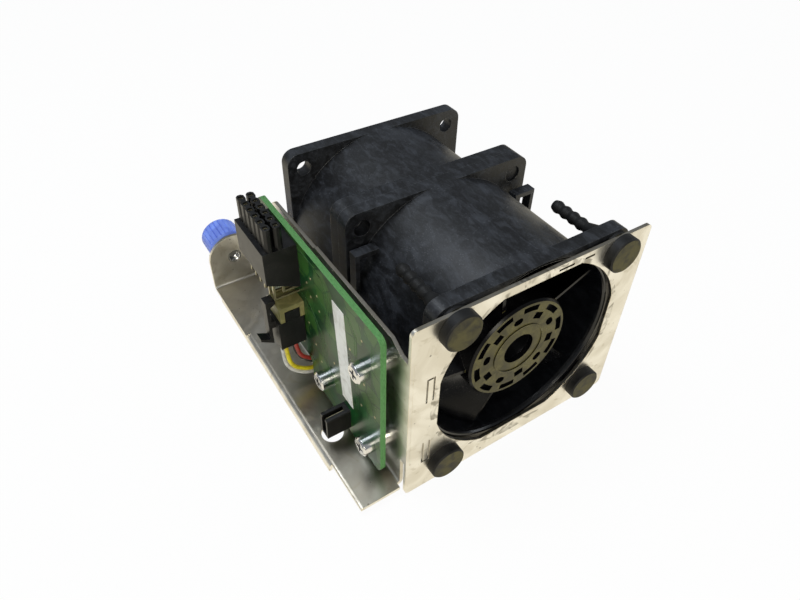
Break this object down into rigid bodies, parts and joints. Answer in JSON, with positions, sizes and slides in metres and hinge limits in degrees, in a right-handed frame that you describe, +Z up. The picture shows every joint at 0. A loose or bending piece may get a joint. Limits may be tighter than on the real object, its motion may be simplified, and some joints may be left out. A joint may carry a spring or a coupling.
{
  "type": "server fan module",
  "caption": "Counter-rotating server fan pair on a folded sheet-metal bracket with a blind-mate power connector board and a captive thumbscrew.",
  "frame": {"origin": "middle of the underside of the object's box, on the plane it rests on", "axes": "+X to the right of the front plate, +Y from the front plate to the rear along the fans' axis, +Z up"},
  "size_m": [0.0898, 0.1188, 0.0633],
  "materials": {
    "bracket_steel": "bright zinc-plated sheet, smudged",
    "isolator_rubber": "matt moulded rubber",
    "frame_plastic": "glass-filled moulded, faintly mottled",
    "impeller_plastic": "glossy moulded",
    "yoke_steel": "zinc-plated drawn cup",
    "magnet_ferrite": "matt bonded ferrite",
    "shaft_steel": "ground",
    "spring_steel": "tempered",
    "sleeve_brass": "turned",
    "core_steel": "stacked laminations",
    "insulator_plastic": "moulded nylon",
    "winding_copper": "enamelled wire",
    "board_green": "glossy solder mask",
    "label_film": "plain white film",
    "connector_black": "moulded, slightly satin",
    "contact_tin": "tin plated",
    "header_nylon": "natural nylon",
    "fastener_nickel": "bright nickel",
    "knob_blue": "satin fluted plastic",
    "lead_red": "PVC insulation",
    "lead_black": "PVC insulation",
    "lead_yellow": "PVC insulation",
    "lead_white": "PVC insulation"
  },
  "bodies": {
    "chassis": {"bracket": "bracket_steel", "rubber_isolators": "isolator_rubber", "front_fan_frame": "frame_plastic", "rear_fan_frame": "frame_plastic", "motor_link_pins": "contact_tin", "board_standoffs": "fastener_nickel", "board_screws": "fastener_nickel", "control_board": "board_green", "board_label": "label_film", "blind_mate_housing": "connector_black", "blind_mate_contacts": "contact_tin", "fan_header_shroud": "header_nylon", "fan_header_pins": "contact_tin", "fan_plug_housing": "connector_black", "fan_plug_contacts": "contact_tin", "aux_header_housing": "connector_black", "aux_header_pins": "contact_tin", "thumbscrew_ferrule": "fastener_nickel", "thumbscrew_spring": "spring_steel", "lead_red": "lead_red", "lead_black": "lead_black", "lead_yellow": "lead_yellow", "lead_white": "lead_white", "front_bearing_sleeve": "sleeve_brass", "front_ball_bearings": "shaft_steel", "front_stator_core": "core_steel", "front_stator_insulators": "insulator_plastic", "front_windings": "winding_copper", "front_driver_board": "board_green", "rear_bearing_sleeve": "sleeve_brass", "rear_ball_bearings": "shaft_steel", "rear_stator_core": "core_steel", "rear_stator_insulators": "insulator_plastic", "rear_windings": "winding_copper", "rear_driver_board": "board_green"},
    "front_rotor": {"front_impeller": "impeller_plastic", "front_rotor_yoke": "yoke_steel", "front_ring_magnet": "magnet_ferrite", "front_shaft": "shaft_steel", "front_shaft_clip": "spring_steel", "front_preload_spring": "spring_steel"},
    "rear_rotor": {"rear_impeller": "impeller_plastic", "rear_rotor_yoke": "yoke_steel", "rear_ring_magnet": "magnet_ferrite", "rear_shaft": "shaft_steel", "rear_shaft_clip": "spring_steel", "rear_preload_spring": "spring_steel"},
    "thumbscrew_slide": {"thumbscrew_washer": "fastener_nickel"},
    "thumbscrew_turn": {"thumbscrew_knob": "knob_blue", "thumbscrew_screw": "fastener_nickel"}
  },
  "joints": [
    {"name": "front_fan_spin", "type": "hinge", "parent": "chassis", "child": "front_rotor", "pos_m": [0.0089, -0.0366, 0.0332], "axis": [0, -1, 0], "continuous": true},
    {"name": "rear_fan_spin", "type": "hinge", "parent": "chassis", "child": "rear_rotor", "pos_m": [0.0089, 0.0034, 0.0332], "axis": [0, 1, 0], "continuous": true},
    {"name": "thumbscrew_press", "type": "slide", "parent": "chassis", "child": "thumbscrew_slide", "axis": [0, -1, 0], "range_m": [0, 0.0029], "stiffness_N_per_m": 300, "springref_m": -0.002, "deforming": ["thumbscrew_spring"]},
    {"name": "thumbscrew_turn", "type": "hinge", "parent": "thumbscrew_slide", "child": "thumbscrew_turn", "pos_m": [-0.0331, 0.0534, 0.0136], "axis": [0, -1, 0], "continuous": true}
  ]
}
